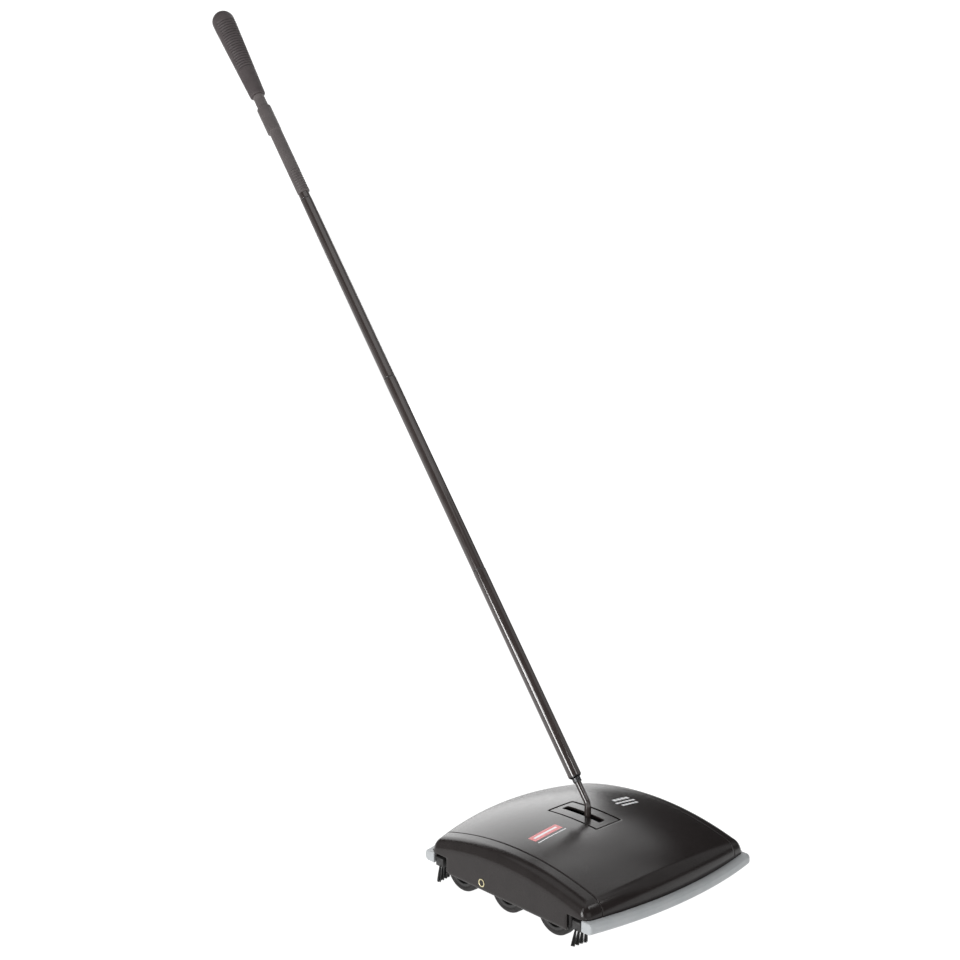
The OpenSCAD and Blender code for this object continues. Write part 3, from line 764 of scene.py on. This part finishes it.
def make_brush_rolls():
    """Bristles in six rows that wind slowly round the core, tuft by tuft."""
    rng = random.Random(7)
    rows, tuft_pitch, tuft, wind, root_r, width = 6, 3.6, 6, 55, 7.6, 0.24
    for name, end in ENDS:
        axis = Vector((0, end * BRUSH_Y, BRUSH_Z))
        bm = bmesh.new()
        for row in range(rows):
            for x in steps(-BRISTLE_X, tuft_pitch, BRISTLE_X):
                a0 = math.radians(60 * row + 30 + wind * end * x / BRISTLE_X)
                for _ in range(tuft):
                    a = a0 + rng.uniform(-0.07, 0.07)
                    tip_a = a0 + rng.uniform(-0.13, 0.13)
                    px = x + rng.uniform(-0.8, 0.8)
                    tip_x = max(-BRISTLE_X, min(BRISTLE_X, px + rng.uniform(-1.2, 1.2)))
                    reach = BRISTLE_R - rng.uniform(0, 0.7)
                    root = Vector((px, root_r * math.cos(a), root_r * math.sin(a)))
                    tip = Vector((tip_x, reach * math.cos(tip_a), reach * math.sin(tip_a)))
                    bristle(bm, axis + root, axis + tip, width)
        outward(bm)
        make(name + "_roll_bristles", bm, name + "_brush", "bristle", [name + "_brush_bristles"], sharp=60)


def make_corner_brushes():
    """Four bundles of long bristles in a row at each corner, set in a moulded holder."""
    rng = random.Random(11)
    plate, foot = 105.8, 26.5
    strands, top_r, tip_r, width = 74, 0.7, 2.1, 0.28
    tip_x, tip_pitch, tip_y, tip_z = 114.2, 5.2, 99.2, 0.9
    top_x, top_pitch, top_y, top_z = 113, 3.9, 100.3, 19.0
    turned = 0.8  # the row's inner bundles stand nearer the bumper
    for side_name, side in SIDES:
        for end_name, end in ENDS:
            name = f"{end_name}_{side_name}"
            bm = bmesh.new()
            low, high = corners(name + "_brush_holder")
            block(bm, low, (high[0], high[1], foot))
            x0, x1 = sorted((side * plate, side * (plate + 6)))
            block(bm, (x0, low[1], foot - 0.01), (x1, high[1], high[2]))
            outward(bm)
            make(name + "_socket", bm, "head", "dark_plastic", [name + "_brush_holder"], bevel=0.5, sharp=40)
            bm = bmesh.new()
            for k in (-1.5, -0.5, 0.5, 1.5):
                tip = Vector((side * (tip_x + tip_pitch * k), end * (tip_y - turned * k), tip_z))
                top = Vector((side * (top_x + top_pitch * k), end * (top_y - turned * k), top_z))
                along = (tip - top).normalized()
                u = along.orthogonal().normalized()
                v = along.cross(u)
                for _ in range(strands):
                    turn, far = rng.uniform(0, 2 * math.pi), math.sqrt(rng.random())
                    off = u * math.cos(turn) + v * math.sin(turn)
                    end_at = tip + off * far * tip_r - along * rng.uniform(0, 1.1)
                    end_at.z = max(end_at.z, 0.3)
                    bend = off * rng.uniform(-0.5, 0.7)
                    bristle(bm, top + off * far * top_r, end_at, width, bend)
            outward(bm)
            make(name + "_bundles", bm, "head", "bristle", [name + "_tufts"], sharp=60)


def make_bushes():
    """Flanged brass bush in each end cap, with a bevelled mouth."""
    for name, side in SIDES:
        low, high = corners(name + "_brass_bush")
        rim_r, depth = (high[2] - low[2]) / 2, high[0] - low[0]
        face = high[0] if side > 0 else low[0]
        at = facing_in(side, face, (low[1] + high[1]) / 2, (low[2] + high[2]) / 2)
        profile = [(3.1, depth), (3.1, 0.9)] + arc(3.45, 0.5, 0.4, 180, 270, 4)
        profile += arc(rim_r - 0.3, 0.4, 0.3, -90, 0, 4) + [(rim_r, 0.78), (4.0, 0.8), (4.0, depth)]
        bm = bmesh.new()
        lathe(bm, profile, at, 64)
        outward(bm)
        make(name + "_bush_ring", bm, "head", "brass", [name + "_brass_bush"], sharp=40)


def make_pan_springs():
    """Coiled wire round each hinge rod, with a leg that rests on the pan's wall."""
    wire, coil, length, turns, per_turn = 0.48, 2.4, 4.0, 4, 20
    for name, end in ENDS:
        low, _ = corners(name + "_pan_spring")
        x0, y, z = low[0] + 0.5, end * HINGE_Y, HINGE_Z
        path = []
        for i in range(turns * per_turn + 1):
            a = 2 * math.pi * i / per_turn
            x = x0 + length * i / (turns * per_turn)
            path.append(Vector((x, y - end * coil * math.cos(a), z - coil * math.sin(a))))
        top = Vector((path[-1].x, y - end * 0.35, z + 8.4))
        path += [path[-1].lerp(top, s) for s in (0.1, 0.3, 0.6, 1.0)]
        bm = bmesh.new()
        tube(bm, path, wire, 10)
        outward(bm)
        make(name + "_spring_coil", bm, name + "_pan", "dark_steel", [name + "_pan_spring"], sharp=50)


# ---- handle ----

def make_rod():
    """Bent rod with the cross barrel that turns on the pivot pin."""
    bend_r = 12.0
    bend_z = FOOT.z - FOOT.y / math.tan(TILT)
    straight = bend_r * math.tan(TILT / 2)
    path = [Vector((0, 0, z)) for z in steps(PIVOT_Z, 5, bend_z - straight - 0.5)]
    parts = 12
    for i in range(parts + 1):
        a = TILT * i / parts
        path.append(Vector((0, bend_r * (1 - math.cos(a)), bend_z - straight + bend_r * math.sin(a))))
    reach = FOOT.y / math.sin(TILT) + 24
    along = Vector((0, math.sin(TILT), math.cos(TILT)))
    path += [Vector((0, 0, bend_z)) + along * s for s in steps(straight + 1, 5, reach)]
    bm = bmesh.new()
    tube(bm, path, ROD_R, 40)
    barrel = [(3.05, -7.9), (5.9, -7.9), (6.5, -7.3), (6.5, 7.3), (5.9, 7.9), (3.05, 7.9)]
    across = Matrix.Translation((0, 0, PIVOT_Z)) @ Matrix.Rotation(math.pi / 2, 4, "Y")
    lathe(bm, barrel, across, 48)
    outward(bm)
    make("bent_rod", bm, "handle", "black_enamel", ["pivot_rod"], sharp=40)


def make_collar():
    """Bush in the foot of the lowest tube, with a rounded lip."""
    bore = section_r(0) - TUBE_WALL - 0.03
    profile = [(3.52, -7)] + arc(4.0, -6.4, 0.6, -90, 0, 4) + [(4.6, -5.6), (4.6, -2.2), (5.3, -1.4)]
    profile += [(bore, -0.6), (bore, 24), (3.52, 24)]
    bm = bmesh.new()
    lathe(bm, profile, HANDLE, 48)
    outward(bm)
    make("tube_bush", bm, "handle", "dark_steel", ["rod_collar"], sharp=35)


def section_r(k):
    """Outer radius of tube k, counted from the lowest: each is a little thicker than the one above."""
    return TUBE_R + TUBE_STEP * (TUBES - 1 - k)


def make_tubes():
    """Four painted tubes with rolled ends and a small gap at each joint."""
    gap, roll = 0.5, 0.45
    bm = bmesh.new()
    for k in range(TUBES):
        r = section_r(k)
        bore = r - TUBE_WALL + 0.02
        s0 = k * SECTION + (gap if k else 0)
        s1 = (k + 1) * SECTION - gap if k < TUBES - 1 else HANDLE_L - 9
        profile = [(bore, s0)] + arc(r - roll, s0 + roll, roll, -90, 0, 4)
        profile += [(r, s) for s in steps(s0 + 0.5, 30, s1 - 0.5)]
        profile += arc(r - roll, s1 - roll, roll, 0, 90, 4) + [(bore, s1)]
        lathe(bm, profile, HANDLE, 64)
    outward(bm)
    make("painted_tubes", bm, "handle", "black_enamel", ["handle_tubes"], sharp=45)


def make_sleeve():
    """Collar round the tube with a tongue below it that ends in a ribbed thumb pad."""
    s0, s1, s2, neck_end, r, neck_r = 745.0, 834.0, 869.0, 886.5, 8.65, 6.75
    band, rib_pitch, rib_deep = (s0 + 3, s0 + 31), 3.5, 0.75
    rounding, edges = 1.4, 48
    near = TUBE_R + 0.03
    shift = (r - TUBE_R) / 2
    outer = r - shift
    half = math.radians(112)
    angles = [-half + 2 * half * i / edges for i in range(edges + 1)]
    bm = bmesh.new()
    rings = []
    for s in steps(s0, 0.3, s0 + 2, 0.45, s0 + 33, 3, s1 + 0.5):
        end = max(0.0, rounding - (s - s0))
        inset = rounding - math.sqrt(rounding ** 2 - end ** 2)
        out, inside = [], []
        for a in angles:
            reach = shift * math.cos(a) + math.sqrt(outer ** 2 - (shift * math.sin(a)) ** 2)
            span = max(0.0, 1 - (a / math.radians(72)) ** 4)
            if band[0] < s < band[1]:
                reach -= rib_deep * span * (0.5 + 0.5 * math.cos(2 * math.pi * (s - band[0]) / rib_pitch))
            reach = max(TUBE_R + 0.1, reach - inset)
            out.append(HANDLE @ Vector((reach * math.sin(a), -reach * math.cos(a), s)))
            inside.append(HANDLE @ Vector((near * math.sin(a), -near * math.cos(a), s)))
        rings.append(out + inside[::-1])
    loft(bm, rings)
    profile = [(near, s1)] + arc(r - 0.8, s1 + 0.8, 0.8, -90, 0, 5)
    profile += [(r, s) for s in steps(s1 + 1, 10, s2 - 1)] + arc(r - 0.9, s2 - 0.9, 0.9, 0, 90, 5)
    profile += [(neck_r, s2 + 0.05), (neck_r, neck_end), (near, neck_end)]
    lathe(bm, profile, HANDLE, 72)
    outward(bm)
    make("thumb_sleeve", bm, "handle", "handle_plastic", ["handle_sleeve"], sharp=40)


def make_grip():
    """Tapered grip with two ribbed bands and a domed end."""
    s0, r0, r1, dome = 887.0, 9.4, 13.7, 14.0
    s1 = HANDLE_L - dome
    near = TUBE_R + 0.03
    band, rib_pitch, rib_deep = (922.5, 995.5), 3.5, 1.1
    facing = math.radians(-90 - 28)

    def ribs(a, r, h):
        if not band[0] < h < band[1] or r < r0:
            return r
        turn = abs((a - facing + math.pi / 2) % math.pi - math.pi / 2)
        share = max(0.0, min(1.0, (math.radians(58) - turn) / math.radians(9)))
        ends = min(1.0, (h - band[0]) / 2, (band[1] - h) / 2)
        wave = 0.5 + 0.5 * math.cos(2 * math.pi * (h - band[0]) / rib_pitch)
        return r - rib_deep * share * ends * wave

    def radius(s):
        return r0 + (r1 - 0.1 - r0) * min(1.0, (s - s0) / (s1 - 8 - s0))

    profile = [(near, s0)] + arc(r0 - 1.4, s0 + 1.4, 1.4, -90, 0, 5)
    profile += [(radius(s), s) for s in steps(s0 + 2, 6, band[0] - 1, 0.46, band[1] + 1, 4, s1)]
    profile += arc(0, s1, r1, 4, 84, 12)
    profile += [(0.15, HANDLE_L - 0.3), (0.15, HANDLE_L - 8.9), (near, HANDLE_L - 8.9)]
    bm = bmesh.new()
    lathe(bm, profile, HANDLE, 120, ribs)
    outward(bm)
    make("ribbed_grip", bm, "handle", "grip", ["handle_grip"], sharp=40)


# ---- CAD nodes that stay ----

KEPT = {
    "zinc_steel": ["chassis_deck", "front_cross_rail", "rear_cross_rail", "pivot_bracket", "front_dust_pan",
                   "rear_dust_pan"],
    "dark_steel": ["left_side_plate", "right_side_plate", "pivot_clip", "axle_clips"],
    "bright_steel": ["bracket_rivets", "pivot_pin", "friction_washers", "axle_studs", "front_pan_rod",
                     "rear_pan_rod", "cap_screws", "cover_screws"],
    "nylon": ["brush_bearings"],
    "brush_core": ["front_brush_core", "rear_brush_core"],
    "dark_plastic": ["tube_joiners"],
}


def dress_cad():
    """Gives the CAD nodes that stay in sight their materials."""
    for slot, nodes in KEPT.items():
        for node in nodes:
            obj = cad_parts[node]
            obj.data.materials.clear()
            obj.data.materials.append(MATERIALS[slot])


# ---- stage ----

WORLD_LIGHT = 0.05  # what the object sees of the world
WORLD_SEEN = 1.2    # what the camera sees of it
CAMERA_AT = (-1.226, -1.162, 0.7808)
CAMERA_AZIMUTH = -42.70
CAMERA_ELEVATION = 11.75
LENS = 64.15


def make_stage():
    """Pale floor, and a world that is white to the camera and lights the object only a little."""
    scene = bpy.context.scene
    scene.view_settings.view_transform = "Standard"
    bm = bmesh.new()
    bmesh.ops.create_circle(bm, cap_ends=True, segments=96, radius=14)
    mesh = bpy.data.meshes.new("floor")
    bm.to_mesh(mesh)
    bm.free()
    floor = bpy.data.objects.new("floor", mesh)
    scene.collection.objects.link(floor)
    n = Nodes("floor_white")
    tone = n.blend(n.range(n.noise(2, 2), 0, 1), (0.15, 0.15, 0.15), (0.17, 0.17, 0.17))
    n.finish(tone, Roughness=0.9, Specular_IOR_Level=0.0, Emission_Color=(1, 1, 1, 1), Emission_Strength=1.0)
    mesh.materials.append(n.material)

    world = bpy.data.worlds.new("studio")
    scene.world = world
    world.use_nodes = True
    tree = world.node_tree
    back = tree.nodes["Background"]
    back.inputs["Color"].default_value = (1, 1, 1, 1)
    back.inputs["Strength"].default_value = WORLD_LIGHT
    seen = tree.nodes.new("ShaderNodeBackground")
    seen.inputs["Color"].default_value = (1, 1, 1, 1)
    seen.inputs["Strength"].default_value = WORLD_SEEN
    path = tree.nodes.new("ShaderNodeLightPath")
    mix = tree.nodes.new("ShaderNodeMixShader")
    tree.links.new(path.outputs["Is Camera Ray"], mix.inputs["Fac"])
    tree.links.new(back.outputs["Background"], mix.inputs[1])
    tree.links.new(seen.outputs["Background"], mix.inputs[2])
    tree.links.new(mix.outputs["Shader"], tree.nodes["World Output"].inputs["Surface"])


def soft_light(name, at, aim, width, height, radiance, along=None):
    """Rectangular soft light, in metres, that looks as bright as radiance says.

    Its height runs along the direction given, or upward.
    """
    data = bpy.data.lights.new(name, "AREA")
    data.shape = "RECTANGLE"
    data.size, data.size_y = width, height
    data.energy = radiance * math.pi * width * height
    obj = bpy.data.objects.new(name, data)
    back = (Vector(at) - Vector(aim)).normalized()
    up = Vector(along or (0, 0, 1))
    side = up.cross(back).normalized()
    up = back.cross(side)
    obj.matrix_world = Matrix.Translation(at) @ Matrix((side, up, back)).transposed().to_4x4()
    obj.visible_camera = False
    bpy.context.scene.collection.objects.link(obj)


def panel(name, azimuths, elevations, radiance, distance=3.0):
    """Soft light that fills a window of directions seen from the head. Azimuth 0 is +Y and 90 is +X."""
    a = math.radians(sum(azimuths) / 2)
    e = math.radians(sum(elevations) / 2)
    at = Vector((math.sin(a) * math.cos(e), math.cos(a) * math.cos(e), math.sin(e))) * distance
    width = 2 * distance * math.cos(e) * math.tan(math.radians(azimuths[1] - azimuths[0]) / 2)
    height = 2 * distance * math.tan(math.radians(elevations[1] - elevations[0]) / 2)
    head = Vector((0, 0, CROWN_Z * MM))
    soft_light(name, at + head, head, width, height, radiance)


def make_lights():
    """Panels for what the head mirrors, a bright strip for the line on the tube, and soft fills."""
    panel("back_panel", (2, 47.8), (1, 38), 2.9)
    panel("high_panel", (34, 80), (46, 70), 1.3)
    panel("left_high", (-70, -15), (42, 72), 0.9)
    panel("left_low", (-75, -15), (3, 38), 0.4)
    panel("left_glint", (-103, -93), (26, 36), 9, 0.8)
    panel("front_glint", (173, 183), (38, 48), 9, 0.8)
    panel("right_low", (92, 152), (12, 58), 0.5)
    handle = (0, math.sin(TILT), math.cos(TILT))
    soft_light("left_strip", (-1.91, -0.075, 0.417), (0, 0.13, 0.25), 0.5, 0.9, 17, handle)
    soft_light("right_wash", (0.8, 0.8, 1.1), (0, 0.4, 0.6), 0.5, 0.9, 1.2, handle)
    soft_light("front_fill", (-0.9, -2.6, 0.7), (0, 0, 0.05), 2.4, 1.0, 1.0)
    soft_light("overhead", (-0.2, -0.6, 3.0), (0, 0, 0.1), 3.2, 2.0, 1.05, (0, 1, 0))


def make_camera():
    """Camera at the photograph's viewing angle, without shift or depth of field."""
    data = bpy.data.cameras.new("camera")
    data.sensor_width = 36
    data.lens = LENS
    data.clip_start, data.clip_end = 0.05, 60
    camera = bpy.data.objects.new("camera", data)
    camera.location = CAMERA_AT
    a, e = math.radians(CAMERA_AZIMUTH), math.radians(CAMERA_ELEVATION)
    back = Vector((math.sin(a) * math.cos(e), -math.cos(a) * math.cos(e), math.sin(e)))
    camera.rotation_euler = back.to_track_quat("Z", "Y").to_euler()
    bpy.context.scene.collection.objects.link(camera)
    bpy.context.scene.camera = camera


build_materials()
make_camera()
make_cover()
make_end_caps()
make_bumpers()
make_insert()
make_prints()
make_wheels()
make_brush_rolls()
make_corner_brushes()
make_bushes()
make_pan_springs()
make_rod()
make_collar()
make_tubes()
make_sleeve()
make_grip()
dress_cad()
make_stage()
make_lights()
